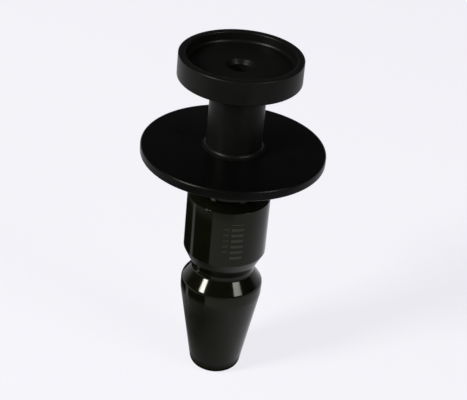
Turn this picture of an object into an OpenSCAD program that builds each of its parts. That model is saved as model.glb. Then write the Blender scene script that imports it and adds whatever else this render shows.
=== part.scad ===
// Pick-up nozzle for surface-mount placement: three turned pieces on one axis.
// The shank is held in the placement head, the reflector disc sits on the end of its neck,
// and the suction tip carries the cup. Its plug runs through the disc into the shank's socket,
// and one air way runs from the cup's floor to the shank's end.
// Millimetres, +Z up. The origin is the centre of the shank's end face, and the cup faces +Z.

/* [Shank: locating cone and band] */
// Diameter of the cone at its end face, before the edge is rounded
cone_small_d = 3.1; // [3:0.05:3.5]
// Half angle of the locating cone, in degrees
cone_angle = 10; // [8:0.5:13]
// Radius that rounds the edge of the end face
end_round = 0.55; // [0.3:0.05:0.6]
// Diameter of the cylindrical band above the cone
band_d = 5.15; // [4.8:0.05:5.4]
// Length of the band
band_len = 0.74; // [0.5:0.01:1.5]
// Radius that blends the cone into the band
band_blend = 1.5; // [0.5:0.1:2]
// Radius that rounds the band's upper edge
band_round = 0.25; // [0.1:0.05:0.3]

/* [Shank: catch groove] */
// Diameter at the bottom of the groove
groove_d = 3.9; // [3.4:0.05:4.2]
// Axial length of the sloping shoulder from the band down to the groove
shoulder_len = 0.85; // [0.6:0.01:1.4]
// Axial length of the flat bottom of the groove
groove_len = 0.25; // [0.2:0.01:0.8]
// Axial length of the long flank from the groove up to the barrel
flank_len = 1.25; // [0.8:0.01:2]
// Radius in the two inner corners of the groove
groove_fillet = 0.25; // [0.05:0.05:0.3]

/* [Shank: barrel and neck] */
// Diameter of the barrel, the part that the head's sleeve holds
barrel_d = 5.15; // [5.15:0.05:6]
// Length of the cylindrical part of the barrel
barrel_len = 3.75; // [2.5:0.05:6]
// Chamfer between the barrel and its upper face
barrel_chamfer = 0.45; // [0.1:0.05:0.45]
// Radius that breaks the barrel's two turned edges
barrel_round = 0.15; // [0.05:0.05:0.2]
// Diameter of the neck
neck_d = 4; // [3.7:0.05:4]
// Length of the neck, from the barrel to the disc
neck_len = 2.22; // [1.5:0.02:4]
// Radius that rounds the neck's end, under the disc
neck_round = 0.3; // [0.1:0.05:0.3]
// Radius in the inner corner where the neck meets the barrel
neck_fillet = 0.1; // [0.05:0.01:0.12]

/* [Reflector disc] */
// Diameter of the disc
disc_d = 11.3; // [8:0.1:16]
// Thickness of the disc
disc_t = 0.65; // [0.45:0.05:1.2]
// Radius that rounds the disc's two edges
disc_round = 0.15; // [0.05:0.05:0.2]

/* [Suction tip: foot and stem] */
// Diameter of the thin foot that holds the disc down
foot_d = 3.9; // [3.9:0.05:5]
// Thickness of the foot at its edge
foot_t = 0.08; // [0.05:0.01:0.3]
// Radius of the flare from the foot into the stem
foot_fillet = 0.2; // [0.05:0.05:0.2]
// Diameter of the stem
stem_d = 3.4; // [3:0.05:3.45]
// Height from the disc to the back of the cup
stem_len = 4.55; // [2:0.05:8]
// Radius between the stem and the back of the cup
cup_fillet = 0.2; // [0.05:0.05:0.4]

/* [Suction tip: cup] */
// Outside diameter of the cup
cup_d = 7.5; // [6:0.1:10]
// Height of the cup, from its back to its rim
cup_h = 1.5; // [1.2:0.05:3]
// Thickness of the cup's wall at the rim
rim_w = 0.45; // [0.3:0.05:0.7]
// Depth of the recess inside the rim
recess_depth = 0.65; // [0.45:0.05:0.8]
// Radius between the recess's floor and its wall
recess_fillet = 0.2; // [0.05:0.05:0.3]
// Radius that rounds both edges of the rim
rim_round = 0.08; // [0.02:0.02:0.12]
// Radius that rounds the cup's back edge
cup_back_round = 0.12; // [0.05:0.01:0.3]

/* [Air way] */
// Diameter of the hole through the suction tip
port_d = 1.3; // [0.8:0.1:1.6]
// Width of the 45 degree countersink where that hole opens in the cup
countersink = 0.25; // [0.05:0.05:0.3]
// Diameter of the bore through the shank
bore_d = 1.7; // [1.2:0.05:1.7]
// Chamfer where that bore opens in the end face
mouth_chamfer = 0.06; // [0.03:0.01:0.08]

/* [Joint between tip and shank] */
// Diameter of the tip's plug
plug_d = 2.4; // [2.1:0.05:2.6]
// Length of the plug inside the shank
plug_len = 3; // [1:0.1:5]
// Radius that rounds the end of the plug
plug_round = 0.15; // [0.05:0.05:0.2]
// Bonding gap all round the plug in the shank's socket
bond_gap = 0.02; // [0.01:0.01:0.05]
// Free depth of the socket past the end of the plug
end_gap = 0.2; // [0.1:0.05:0.5]
// Gap all round the plug in the disc's hole
disc_gap = 0.05; // [0.02:0.01:0.1]
// Chamfer at the mouth of the socket
socket_chamfer = 0.1; // [0.05:0.01:0.12]

/* [Hidden] */
$fn = 96;

// Largest turn, in degrees, between two points of a rounded corner
arc_step = 9;

band_r = band_d / 2;
barrel_r = barrel_d / 2;
groove_r = groove_d / 2;
neck_r = neck_d / 2;
bore_r = bore_d / 2;
plug_r = plug_d / 2;
port_r = port_d / 2;
stem_r = stem_d / 2;
foot_r = foot_d / 2;
cup_r = cup_d / 2;
socket_r = plug_r + bond_gap;

// Heights from the end face upwards, each from the one below it
band_z = (band_d - cone_small_d) / 2 / tan(cone_angle);
shoulder_z = band_z + band_len;
groove_z = shoulder_z + shoulder_len;
flank_z = groove_z + groove_len;
barrel_z = flank_z + flank_len;
barrel_top_z = barrel_z + barrel_len;
neck_z = barrel_top_z + barrel_chamfer;
disc_z = neck_z + neck_len;
foot_z = disc_z + disc_t;
cup_z = foot_z + stem_len;
rim_z = cup_z + cup_h;
floor_z = rim_z - recess_depth;
plug_z = disc_z - plug_len;
socket_z = plug_z - end_gap;

black_gloss = [0.11, 0.11, 0.105];
black_satin = [0.17, 0.17, 0.17];
black_cup = [0.2, 0.2, 0.195];

function xy(p) = [p[0], p[1]];
function unit(v) = v / norm(v);

// Points from start to end, turning by angle round centre
function arc(centre, start, end, angle) =
    let (steps = ceil(angle / arc_step))
    [for (i = [0 : steps])
        centre + (sin(angle * (1 - i / steps)) * (start - centre) + sin(angle * i / steps) * (end - centre))
            / sin(angle)];

// Arc of radius b[2] in place of corner b, tangent to the sides that run to a and to c
function corner(a, b, c) =
    let (
        to_a = unit(xy(a) - xy(b)),
        to_c = unit(xy(c) - xy(b)),
        half = acos(to_a * to_c) / 2,
        reach = b[2] / tan(half),
        centre = xy(b) + unit(to_a + to_c) * b[2] / sin(half)
    )
    b[2] == 0 ? [xy(b)] : arc(centre, xy(b) + to_a * reach, xy(b) + to_c * reach, 180 - 2 * half);

// Closed outline whose corners are given as [radius from the axis, height, corner radius]
function rounded(path) =
    let (n = len(path))
    [for (i = [0 : n - 1]) each corner(path[(i + n - 1) % n], path[i], path[(i + 1) % n])];

// Half section of the shank: outside from the end face up, then back down its socket and bore
function shank_section() = rounded([
    [bore_r + mouth_chamfer, 0, 0],
    [cone_small_d / 2, 0, end_round],
    [band_r, band_z, band_blend],
    [band_r, shoulder_z, band_round],
    [groove_r, groove_z, groove_fillet],
    [groove_r, flank_z, groove_fillet],
    [barrel_r, barrel_z, barrel_round],
    [barrel_r, barrel_top_z, barrel_round],
    [barrel_r - barrel_chamfer, neck_z, 0],
    [neck_r, neck_z, neck_fillet],
    [neck_r, disc_z, neck_round],
    [socket_r + socket_chamfer, disc_z, 0],
    [socket_r, disc_z - socket_chamfer, 0],
    [socket_r, socket_z, 0],
    [bore_r, socket_z, 0],
    [bore_r, mouth_chamfer, 0],
]);

// Half section of the disc, whose hole clears the plug
function disc_section() = rounded([
    [plug_r + disc_gap, disc_z, 0],
    [disc_d / 2, disc_z, disc_round],
    [disc_d / 2, foot_z, disc_round],
    [plug_r + disc_gap, foot_z, 0],
]);

// Half section of the tip: plug, foot, stem and cup, then down through the air hole
function tip_section() = rounded([
    [port_r, plug_z, 0],
    [plug_r, plug_z, plug_round],
    [plug_r, foot_z, 0],
    [foot_r, foot_z, 0],
    [foot_r, foot_z + foot_t, 0],
    [stem_r, foot_z + foot_t, foot_fillet],
    [stem_r, cup_z, cup_fillet],
    [cup_r, cup_z, cup_back_round],
    [cup_r, rim_z, rim_round],
    [cup_r - rim_w, rim_z, rim_round],
    [cup_r - rim_w, floor_z, recess_fillet],
    [port_r + countersink, floor_z, 0],
    [port_r, floor_z - countersink, 0],
]);

// Black-coated steel shank, turned in one piece
module shank() {
    color(black_gloss) rotate_extrude() polygon(shank_section());
}

// Flat disc between the neck and the tip's foot
module reflector_disc() {
    color(black_satin) rotate_extrude() polygon(disc_section());
}

// Stem and cup in one piece, with the plug that is bonded into the shank
module suction_tip() {
    color(black_cup) rotate_extrude() polygon(tip_section());
}

shank();
reflector_disc();
suction_tip();
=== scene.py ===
import math

import bmesh
import bpy
from mathutils import Matrix, Vector


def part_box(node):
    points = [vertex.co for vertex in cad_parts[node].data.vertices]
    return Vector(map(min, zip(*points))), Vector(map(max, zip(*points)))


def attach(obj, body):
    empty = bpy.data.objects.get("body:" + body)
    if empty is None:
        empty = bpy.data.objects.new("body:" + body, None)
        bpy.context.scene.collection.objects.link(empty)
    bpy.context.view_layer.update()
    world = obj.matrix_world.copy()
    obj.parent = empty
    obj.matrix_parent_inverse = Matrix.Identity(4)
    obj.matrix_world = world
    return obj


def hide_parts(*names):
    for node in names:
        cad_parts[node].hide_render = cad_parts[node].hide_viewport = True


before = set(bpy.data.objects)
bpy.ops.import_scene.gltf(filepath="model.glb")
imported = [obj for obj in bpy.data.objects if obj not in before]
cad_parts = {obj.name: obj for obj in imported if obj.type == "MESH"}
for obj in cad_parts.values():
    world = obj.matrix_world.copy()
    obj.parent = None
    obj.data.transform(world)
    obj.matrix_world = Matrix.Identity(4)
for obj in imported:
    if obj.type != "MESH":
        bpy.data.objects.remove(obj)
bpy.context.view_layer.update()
MM = 0.001


# ---------------------------------------------------------------------------
# Camera. It looks down on the standing nozzle from thirty degrees, close by
# and with a long lens, and is rolled so that the nozzle leans to the right.
# ---------------------------------------------------------------------------
eye_distance = 96.1 * MM
look_down = math.radians(29.95)
lean = math.radians(5.33)
aim = Vector((0.3 * MM, 0, 12.2 * MM))

eye = aim + eye_distance * Vector((0, -math.cos(look_down), math.sin(look_down)))
camera_data = bpy.data.cameras.new("studio_camera")
camera_data.sensor_width = 36
camera_data.lens = 120
camera_data.clip_start = 5 * MM
camera = bpy.data.objects.new("studio_camera", camera_data)
bpy.context.scene.collection.objects.link(camera)
camera.matrix_world = (
    Matrix.Translation(eye)
    @ Matrix.Rotation(math.pi / 2 - look_down, 4, "X")
    @ Matrix.Rotation(lean, 4, "Z")
)
bpy.context.scene.camera = camera


# ---------------------------------------------------------------------------
# Shank. One bar of steel turned on a lathe: locating cone, band, catch groove,
# barrel and neck, bored through for the vacuum, with a socket in the neck's
# end for the tip. It is polished and coated in glossy black.
# ---------------------------------------------------------------------------
shank_low, shank_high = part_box("shank")
SIDES = 256
SAME_PLACE = 0.001 * MM
SAME_POINT = 0.0001 * MM
DEGREES_A_FACET = 9
SMOOTH_BELOW = math.radians(24)


def select_ring(mesh_edit, radius, height):
    """Selects the edges of the one ring of vertices at this radius and height."""
    for vertex in mesh_edit.verts:
        at_height = abs(vertex.co.z - height) < SAME_PLACE
        vertex.select = at_height and abs(vertex.co.xy.length - radius) < SAME_PLACE
    for edge in mesh_edit.edges:
        edge.select = edge.verts[0].select and edge.verts[1].select
    mesh_edit.select_flush(True)


def turn_on_lathe(name, section):
    """Turns a closed section, whose corners are (radius, height, corner radius), about the axis."""
    bpy.ops.object.select_all(action="DESELECT")
    first_radius, first_height, _ = section[0]
    bpy.ops.mesh.primitive_circle_add(
        vertices=SIDES,
        radius=first_radius,
        fill_type="NOTHING",
        location=(0, 0, first_height),
    )
    bpy.ops.object.transform_apply(location=True)
    piece = bpy.context.object
    piece.name = name
    piece.data.name = name
    bpy.ops.object.mode_set(mode="EDIT")
    bpy.ops.mesh.select_mode(type="EDGE")
    bpy.ops.mesh.select_all(action="SELECT")
    radius, height = first_radius, first_height
    for next_radius, next_height, _ in section[1:] + section[:1]:
        rise = (0, 0, next_height - height)
        bpy.ops.mesh.extrude_region_move(TRANSFORM_OT_translate={"value": rise})
        grow = next_radius / radius
        bpy.ops.transform.resize(value=(grow, grow, 1), center_override=(0, 0, 0))
        radius, height = next_radius, next_height
    bpy.ops.mesh.select_all(action="SELECT")
    bpy.ops.mesh.remove_doubles(threshold=SAME_POINT)
    bpy.ops.mesh.normals_make_consistent(inside=False)
    corners = len(section)
    for i, (radius, height, corner_radius) in enumerate(section):
        if corner_radius == 0:
            continue
        before = Vector(section[i - 1][:2]) - Vector((radius, height))
        after = Vector(section[(i + 1) % corners][:2]) - Vector((radius, height))
        turned = math.pi - before.angle(after)
        bpy.ops.mesh.select_all(action="DESELECT")
        mesh_edit = bmesh.from_edit_mesh(piece.data)
        select_ring(mesh_edit, radius, height)
        bmesh.update_edit_mesh(piece.data)
        bpy.ops.mesh.bevel(
            offset=corner_radius * math.tan(turned / 2),
            offset_type="OFFSET",
            segments=max(2, round(math.degrees(turned) / DEGREES_A_FACET)),
            profile=0.5,
            affect="EDGES",
            clamp_overlap=False,
        )
    bpy.ops.object.mode_set(mode="OBJECT")
    bpy.ops.object.shade_smooth_by_angle(angle=SMOOTH_BELOW)
    weighted = piece.modifiers.new("even_shading", "WEIGHTED_NORMAL")
    weighted.keep_sharp = True
    weighted.weight = 100
    bpy.ops.object.modifier_apply(modifier=weighted.name)
    return piece


cone_small_r = 1.55 * MM
cone_half_angle = math.radians(10)
band_r = 2.575 * MM
band_len = 0.74 * MM
groove_r = 1.95 * MM
shoulder_len = 0.85 * MM
groove_len = 0.25 * MM
flank_len = 1.25 * MM
barrel_r = shank_high.x
barrel_len = 3.75 * MM
barrel_chamfer = 0.45 * MM
neck_r = 2 * MM
bore_r = 0.85 * MM
bore_mouth = 0.06 * MM
plug_r = 1.2 * MM
plug_len = 3 * MM
bond_gap = 0.02 * MM
end_gap = 0.2 * MM
socket_r = plug_r + bond_gap
socket_chamfer = 0.1 * MM
socket_len = plug_len + end_gap

end_z = shank_low.z
neck_end_z = shank_high.z
band_z = end_z + (band_r - cone_small_r) / math.tan(cone_half_angle)
shoulder_z = band_z + band_len
groove_z = shoulder_z + shoulder_len
flank_z = groove_z + groove_len
barrel_z = flank_z + flank_len
barrel_top_z = barrel_z + barrel_len
neck_z = barrel_top_z + barrel_chamfer
socket_z = neck_end_z - socket_len

shank = turn_on_lathe(
    "shank_turned",
    [
        (bore_r, end_z + bore_mouth, 0),
        (bore_r + bore_mouth, end_z, 0),
        (cone_small_r, end_z, 0.55 * MM),
        (band_r, band_z, 1.5 * MM),
        (band_r, shoulder_z, 0.4 * MM),
        (groove_r, groove_z, 0.25 * MM),
        (groove_r, flank_z, 0.25 * MM),
        (barrel_r, barrel_z, 0.1 * MM),
        (barrel_r, barrel_top_z, 0.02 * MM),
        (barrel_r - barrel_chamfer, neck_z, 0),
        (neck_r, neck_z, 0),
        (neck_r, neck_end_z, 0.3 * MM),
        (socket_r + socket_chamfer, neck_end_z, 0),
        (socket_r, neck_end_z - socket_chamfer, 0),
        (socket_r, socket_z, 0),
        (bore_r, socket_z, 0),
    ],
)


def lathe_finish(
    name,
    colour,
    roughness,
    roughness_spread,
    mark_pitch,
    mark_depth,
    specular,
    sheen_tint,
):
    """Black finish over fine turning marks, which run round the axis on walls and faces."""
    cloud_scale = 500
    darkest, lightest = 0.8, 1.2
    material = bpy.data.materials.new(name)
    material.use_nodes = True
    nodes = material.node_tree.nodes
    link = material.node_tree.links.new
    shader = nodes["Principled BSDF"]
    shader.inputs["Specular IOR Level"].default_value = specular
    shader.inputs["Specular Tint"].default_value = (*sheen_tint, 1)

    place = nodes.new("ShaderNodeTexCoord")
    split = nodes.new("ShaderNodeSeparateXYZ")
    link(place.outputs["Object"], split.inputs[0])
    flat = nodes.new("ShaderNodeCombineXYZ")
    link(split.outputs["X"], flat.inputs["X"])
    link(split.outputs["Y"], flat.inputs["Y"])
    from_axis = nodes.new("ShaderNodeVectorMath")
    from_axis.operation = "LENGTH"
    link(flat.outputs[0], from_axis.inputs[0])
    along_cut = nodes.new("ShaderNodeCombineXYZ")
    link(from_axis.outputs["Value"], along_cut.inputs["X"])
    link(split.outputs["Z"], along_cut.inputs["Z"])

    marks = nodes.new("ShaderNodeTexNoise")
    marks.inputs["Scale"].default_value = 1 / mark_pitch
    marks.inputs["Detail"].default_value = 1
    marks.inputs["Roughness"].default_value = 0.6
    link(along_cut.outputs[0], marks.inputs["Vector"])
    bump = nodes.new("ShaderNodeBump")
    bump.inputs["Strength"].default_value = 1
    bump.inputs["Distance"].default_value = mark_depth
    link(marks.outputs["Fac"], bump.inputs["Height"])
    link(bump.outputs["Normal"], shader.inputs["Normal"])

    cloud = nodes.new("ShaderNodeTexNoise")
    cloud.inputs["Scale"].default_value = cloud_scale
    cloud.inputs["Detail"].default_value = 2
    link(place.outputs["Object"], cloud.inputs["Vector"])
    rough = nodes.new("ShaderNodeMapRange")
    rough.inputs["From Min"].default_value = 0.2
    rough.inputs["From Max"].default_value = 0.8
    rough.inputs["To Min"].default_value = roughness - roughness_spread
    rough.inputs["To Max"].default_value = roughness + roughness_spread
    link(cloud.outputs["Fac"], rough.inputs["Value"])
    link(rough.outputs["Result"], shader.inputs["Roughness"])

    tint = nodes.new("ShaderNodeMix")
    tint.data_type = "RGBA"
    tint.inputs[6].default_value = (*[c * darkest for c in colour], 1)
    tint.inputs[7].default_value = (*[c * lightest for c in colour], 1)
    link(cloud.outputs["Fac"], tint.inputs[0])
    link(tint.outputs[2], shader.inputs["Base Color"])
    return material


gloss_black = lathe_finish(
    "gloss_black_coating",
    colour=(0.0022, 0.0023, 0.001),
    roughness=0.1,
    roughness_spread=0.03,
    mark_pitch=0.12 * MM,
    mark_depth=0.0002 * MM,
    specular=0.17,
    sheen_tint=(1, 1, 0.88),
)

# A field is etched on the barrel. Here it holds plain short bars.
etch_nodes = gloss_black.node_tree.nodes
etch_link = gloss_black.node_tree.links.new


def etch_math(operation, first, second):
    """One step of the sum that says where the etched bars are."""
    step = etch_nodes.new("ShaderNodeMath")
    step.operation = operation
    for socket, value in zip(step.inputs, (first, second)):
        if isinstance(value, (int, float)):
            socket.default_value = value
        else:
            etch_link(value, socket)
    return step.outputs[0]


etch_place = etch_nodes.new("ShaderNodeTexCoord")
etch_split = etch_nodes.new("ShaderNodeSeparateXYZ")
etch_link(etch_place.outputs["Object"], etch_split.inputs[0])
forward = etch_math("MULTIPLY", etch_split.outputs["Y"], -1)
round_angle = etch_math("ARCTAN2", etch_split.outputs["X"], forward)


def etched_column(middle, half_width, low_z, high_z, pitch, bar):
    """A mask of short bars one above another. The first two are angles round the axis."""
    across = etch_math("ABSOLUTE", etch_math("SUBTRACT", round_angle, middle), 0)
    inside = etch_math("LESS_THAN", across, half_width)
    above = etch_math("GREATER_THAN", etch_split.outputs["Z"], low_z)
    below = etch_math("LESS_THAN", etch_split.outputs["Z"], high_z)
    row = etch_math("MODULO", etch_math("SUBTRACT", etch_split.outputs["Z"], low_z), pitch)
    on_bar = etch_math("LESS_THAN", row, bar)
    between = etch_math("MULTIPLY", above, below)
    return etch_math("MULTIPLY", etch_math("MULTIPLY", inside, between), on_bar)


main_column = etched_column(
    middle=0.30,
    half_width=0.15,
    low_z=barrel_z + 0.55 * MM,
    high_z=barrel_z + 3.0 * MM,
    pitch=0.4 * MM,
    bar=0.17 * MM,
)
side_column = etched_column(
    middle=0.02,
    half_width=0.07,
    low_z=barrel_z + 1.0 * MM,
    high_z=barrel_z + 3.0 * MM,
    pitch=0.4 * MM,
    bar=0.12 * MM,
)
side_strength = 0.5
etch_roughness = 0.45
etch_colour = (0.02, 0.02, 0.015, 1)
side_share = etch_math("MULTIPLY", side_column, side_strength)
etched = etch_math("MAXIMUM", main_column, side_share)
gloss_shader = etch_nodes["Principled BSDF"]
plain_rough = gloss_shader.inputs["Roughness"].links[0].from_socket
plain_colour = gloss_shader.inputs["Base Color"].links[0].from_socket
etch_rough = etch_math("MULTIPLY", etched, etch_roughness)
etch_link(etch_math("ADD", plain_rough, etch_rough), gloss_shader.inputs["Roughness"])
etch_tint = etch_nodes.new("ShaderNodeMix")
etch_tint.data_type = "RGBA"
etch_link(etched, etch_tint.inputs[0])
etch_link(plain_colour, etch_tint.inputs[6])
etch_tint.inputs[7].default_value = etch_colour
etch_link(etch_tint.outputs[2], gloss_shader.inputs["Base Color"])

shank.data.materials.append(gloss_black)
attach(shank, "root")
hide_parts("shank")


# ---------------------------------------------------------------------------
# Reflector disc. A flat washer of aluminium with rounded edges, faced on the
# lathe and anodised satin black. It is clamped between neck and tip.
# ---------------------------------------------------------------------------
disc_low, disc_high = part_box("reflector_disc")
disc_gap = 0.05 * MM
disc_hole_r = plug_r + disc_gap
disc_edge = 0.15 * MM

disc = turn_on_lathe(
    "reflector_disc_turned",
    [
        (disc_hole_r, disc_low.z, 0),
        (disc_high.x, disc_low.z, disc_edge),
        (disc_high.x, disc_high.z, disc_edge),
        (disc_hole_r, disc_high.z, 0),
    ],
)
satin_disc = lathe_finish(
    "satin_black_disc",
    colour=(0.0016, 0.0017, 0.0015),
    roughness=0.3,
    roughness_spread=0.05,
    mark_pitch=0.25 * MM,
    mark_depth=0.0015 * MM,
    specular=0.06,
    sheen_tint=(1, 1, 0.93),
)
disc.data.materials.append(satin_disc)
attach(disc, "root")
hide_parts("reflector_disc")


# ---------------------------------------------------------------------------
# Suction tip. Plug, flared foot, stem and cup turned in one piece from
# aluminium, drilled through, anodised satin black and bonded into the shank.
# ---------------------------------------------------------------------------
tip_low, tip_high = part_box("suction_tip")
foot_r = 1.95 * MM
foot_edge = 0.08 * MM
stem_r = 1.7 * MM
cup_r = tip_high.x
cup_height = 1.5 * MM
rim_width = 0.45 * MM
recess_depth = 0.65 * MM
hole_r = 0.65 * MM
countersink = 0.25 * MM

foot_z = disc_high.z
rim_z = tip_high.z
cup_back_z = rim_z - cup_height
recess_z = rim_z - recess_depth

tip = turn_on_lathe(
    "suction_tip_turned",
    [
        (hole_r, tip_low.z, 0),
        (plug_r, tip_low.z, 0.15 * MM),
        (plug_r, foot_z, 0),
        (foot_r, foot_z, 0),
        (foot_r, foot_z + foot_edge, 0),
        (stem_r, foot_z + foot_edge, 0.2 * MM),
        (stem_r, cup_back_z, 0.2 * MM),
        (cup_r, cup_back_z, 0.12 * MM),
        (cup_r, rim_z, 0.08 * MM),
        (cup_r - rim_width, rim_z, 0.08 * MM),
        (cup_r - rim_width, recess_z, 0.2 * MM),
        (hole_r + countersink, recess_z, 0.05 * MM),
        (hole_r, recess_z - countersink, 0),
    ],
)
satin_tip = lathe_finish(
    "satin_black_tip",
    colour=(0.0034, 0.0037, 0.0031),
    roughness=0.36,
    roughness_spread=0.05,
    mark_pitch=0.25 * MM,
    mark_depth=0.0015 * MM,
    specular=0.07,
    sheen_tint=(1, 1, 0.93),
)
tip.data.materials.append(satin_tip)
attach(tip, "root")
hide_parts("suction_tip")


# ---------------------------------------------------------------------------
# Floor. A wide sheet of pale paper under the nozzle. The camera and polished
# faces see it evenly pale, and it keeps the nozzle's soft shadow.
# ---------------------------------------------------------------------------
paper_colour = (0.896, 0.888, 0.939)
paper_glow = 0.885
lit_colour = (0.8, 0.8, 0.82, 1)
seen_lit_colour = (0.12, 0.12, 0.12, 1)
floor_size = 3
floor_z = -0.002 * MM

bpy.ops.object.select_all(action="DESELECT")
bpy.ops.mesh.primitive_plane_add(size=floor_size, location=(0, 0, floor_z))
bpy.ops.object.transform_apply(location=True)
floor = bpy.context.object
floor.name = "paper_floor"
paper = bpy.data.materials.new("pale_paper")
paper.use_nodes = True
paper_nodes = paper.node_tree.nodes
paper_link = paper.node_tree.links.new
paper_nodes.remove(paper_nodes["Principled BSDF"])
lit = paper_nodes.new("ShaderNodeBsdfDiffuse")
lit.inputs["Color"].default_value = lit_colour
seen_lit = paper_nodes.new("ShaderNodeBsdfDiffuse")
seen_lit.inputs["Color"].default_value = seen_lit_colour
seen_glow = paper_nodes.new("ShaderNodeEmission")
seen_glow.inputs["Color"].default_value = (*paper_colour, 1)
seen_glow.inputs["Strength"].default_value = paper_glow
seen = paper_nodes.new("ShaderNodeAddShader")
paper_link(seen_lit.outputs[0], seen.inputs[0])
paper_link(seen_glow.outputs[0], seen.inputs[1])
ray = paper_nodes.new("ShaderNodeLightPath")
camera_or_glossy = paper_nodes.new("ShaderNodeMath")
camera_or_glossy.operation = "MAXIMUM"
paper_link(ray.outputs["Is Camera Ray"], camera_or_glossy.inputs[0])
paper_link(ray.outputs["Is Glossy Ray"], camera_or_glossy.inputs[1])
any_view = paper_nodes.new("ShaderNodeMath")
any_view.operation = "MAXIMUM"
paper_link(camera_or_glossy.outputs[0], any_view.inputs[0])
paper_link(ray.outputs["Is Transmission Ray"], any_view.inputs[1])
choose = paper_nodes.new("ShaderNodeMixShader")
paper_link(any_view.outputs[0], choose.inputs[0])
paper_link(lit.outputs[0], choose.inputs[1])
paper_link(seen.outputs[0], choose.inputs[2])
paper_link(choose.outputs[0], paper_nodes["Material Output"].inputs["Surface"])
floor.data.materials.append(paper)


# ---------------------------------------------------------------------------
# Dark cards. Five black cards lie flat round the nozzle, hidden from the
# camera. They are painted reflection and painted shade: only reflections show
# them, and they give the glossy shank its dark and light stripes. The side and
# front cards are painted dark reflections, and the near and foot cards are
# painted shade round the nozzle's foot. They cast no shadow and are no part of
# the nozzle.
# ---------------------------------------------------------------------------
card_steps = 24


def dark_card(name, finish, near, far, bearing_from, bearing_to, height):
    """Part of a flat ring round the nozzle. Bearing 0 is the camera's side, right is positive."""
    bpy.ops.object.select_all(action="DESELECT")
    start = math.radians(bearing_from)
    bpy.ops.mesh.primitive_plane_add(size=1, location=(0, 0, 0))
    card = bpy.context.object
    card.name = name
    bpy.ops.object.mode_set(mode="EDIT")
    bpy.ops.mesh.select_mode(type="VERT")
    bpy.ops.mesh.select_all(action="SELECT")
    bpy.ops.mesh.merge(type="CENTER")
    to_near = Vector((math.sin(start) * near, -math.cos(start) * near, height))
    bpy.ops.transform.translate(value=to_near)
    out = Vector((math.sin(start), -math.cos(start), 0)) * (far - near)
    bpy.ops.mesh.extrude_region_move(TRANSFORM_OT_translate={"value": out})
    bpy.ops.mesh.select_all(action="SELECT")
    turn = math.radians(bearing_from - bearing_to)
    bpy.ops.mesh.spin(steps=card_steps, angle=turn, center=(0, 0, 0), axis=(0, 0, 1))
    bpy.ops.object.mode_set(mode="OBJECT")
    card.visible_camera = False
    card.visible_diffuse = False
    card.visible_shadow = False
    card.data.materials.append(finish)


def shade_and_reflection_paint(name, fade_in, fade_out, fade_right=None):
    """Black card of painted reflection and shade, which fades in and out over these distances from
    the axis, or to the right.
    """
    cover_at_left = 0.85
    finish = bpy.data.materials.new(name)
    finish.use_nodes = True
    nodes = finish.node_tree.nodes
    link = finish.node_tree.links.new
    shader = nodes["Principled BSDF"]
    shader.inputs["Base Color"].default_value = (0.01, 0.01, 0.01, 1)
    shader.inputs["Roughness"].default_value = 0.9
    shader.inputs["Specular IOR Level"].default_value = 0

    place = nodes.new("ShaderNodeTexCoord")
    split = nodes.new("ShaderNodeSeparateXYZ")
    link(place.outputs["Object"], split.inputs[0])
    from_axis = nodes.new("ShaderNodeVectorMath")
    from_axis.operation = "LENGTH"
    link(place.outputs["Object"], from_axis.inputs[0])
    fades = [
        (from_axis.outputs["Value"], fade_in, 0, 1),
        (from_axis.outputs["Value"], fade_out, 1, 0),
    ]
    if fade_right:
        fades.append((split.outputs["X"], fade_right, cover_at_left, 0))
    cover = None
    for distance, (start, end), at_start, at_end in fades:
        ramp = nodes.new("ShaderNodeMapRange")
        ramp.inputs["From Min"].default_value = start
        ramp.inputs["From Max"].default_value = end
        ramp.inputs["To Min"].default_value = at_start
        ramp.inputs["To Max"].default_value = at_end
        link(distance, ramp.inputs["Value"])
        if cover is None:
            cover = ramp.outputs["Result"]
            continue
        both = nodes.new("ShaderNodeMath")
        both.operation = "MULTIPLY"
        link(cover, both.inputs[0])
        link(ramp.outputs["Result"], both.inputs[1])
        cover = both.outputs[0]
    link(cover, shader.inputs["Alpha"])
    return finish


# Painted dark reflections for the side and front cards, and painted shade for the near and foot
# cards.
side_reflection_paint = shade_and_reflection_paint("painted_reflection_side", (6 * MM, 11 * MM), (25 * MM, 30 * MM))
front_reflection_paint = shade_and_reflection_paint("painted_reflection_front", (26 * MM, 34 * MM), (60 * MM, 75 * MM))
near_shade_paint = shade_and_reflection_paint(
    "painted_shade_near", (0, 0.1 * MM), (6 * MM, 10 * MM), fade_right=(-4 * MM, 3.5 * MM)
)
foot_shade_paint = shade_and_reflection_paint("painted_shade_foot", (0, 0.1 * MM), (1.7 * MM, 2.2 * MM))

# The left, back-left and front cards are painted dark reflections. The near and foot cards are
# painted shade round the foot.
# Each card has its nearest and farthest reach, first and last bearing in degrees, and height.
dark_card("card_left", side_reflection_paint, 6 * MM, 30 * MM, -37, -93, 0.012 * MM)
dark_card("card_back_left", side_reflection_paint, 6 * MM, 30 * MM, -103, -175, 0.012 * MM)
dark_card("card_front", front_reflection_paint, 26 * MM, 75 * MM, 20, -55, 0.01 * MM)
dark_card("card_near", near_shade_paint, 0.1 * MM, 10 * MM, 0, 360, -0.001 * MM)
dark_card("card_foot", foot_shade_paint, 0.1 * MM, 2.2 * MM, 0, 360, -0.0005 * MM)


# ---------------------------------------------------------------------------
# Light. Two softboxes at the front, left and right, two small lamps that only
# reflections show, and a room that is pale round the horizon, like the paper,
# and dim overhead.
# ---------------------------------------------------------------------------
lamp_distance = 0.35


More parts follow.
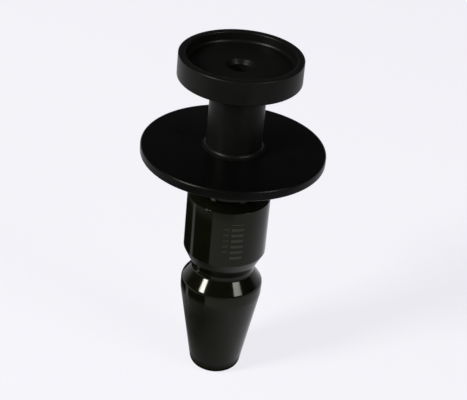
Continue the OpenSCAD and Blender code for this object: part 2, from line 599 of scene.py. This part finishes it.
def softbox(name, bearing, elevation, width, height, power):
    """A rectangular lamp that faces the middle of the nozzle, with bearings as for the cards."""
    turn = math.radians(bearing)
    rise = math.radians(elevation)
    level = math.cos(rise)
    away = Vector((math.sin(turn) * level, -math.cos(turn) * level, math.sin(rise)))
    lamp = bpy.data.lights.new(name, "AREA")
    lamp.shape = "RECTANGLE"
    lamp.size = width
    lamp.size_y = height
    lamp.energy = power
    holder = bpy.data.objects.new(name, lamp)
    bpy.context.scene.collection.objects.link(holder)
    holder.location = aim + away * lamp_distance
    holder.rotation_euler = away.to_track_quat("Z", "Y").to_euler()
    return holder


softbox("softbox_left", bearing=-56, elevation=31, width=0.085, height=0.08, power=1.7)
softbox("softbox_right", bearing=54, elevation=31, width=0.13, height=0.08, power=0.55)

# The small lamps put glints in the countersink, the fillets and the rim.
glint_left = softbox("glint_left", bearing=-60, elevation=52, width=0.07, height=0.07, power=0.8)
glint_right = softbox("glint_right", bearing=60, elevation=52, width=0.07, height=0.07, power=0.5)
glint_left.visible_diffuse = False
glint_right.visible_diffuse = False

horizon_strength = 0.94
overhead_strength = 0.05
dims_from = 0.02
dims_to = 0.2
room = bpy.data.worlds.new("studio_room")
bpy.context.scene.world = room
room.use_nodes = True
room_nodes = room.node_tree.nodes
room_link = room.node_tree.links.new
direction = room_nodes.new("ShaderNodeTexCoord")
direction_split = room_nodes.new("ShaderNodeSeparateXYZ")
room_link(direction.outputs["Generated"], direction_split.inputs[0])
dimming = room_nodes.new("ShaderNodeMapRange")
dimming.interpolation_type = "SMOOTHSTEP"
dimming.inputs["From Min"].default_value = dims_from
dimming.inputs["From Max"].default_value = dims_to
dimming.inputs["To Min"].default_value = horizon_strength
dimming.inputs["To Max"].default_value = overhead_strength
room_link(direction_split.outputs["Z"], dimming.inputs["Value"])
room_nodes["Background"].inputs["Color"].default_value = (*paper_colour, 1)
room_link(dimming.outputs["Result"], room_nodes["Background"].inputs["Strength"])

bpy.context.scene.view_settings.view_transform = "Standard"
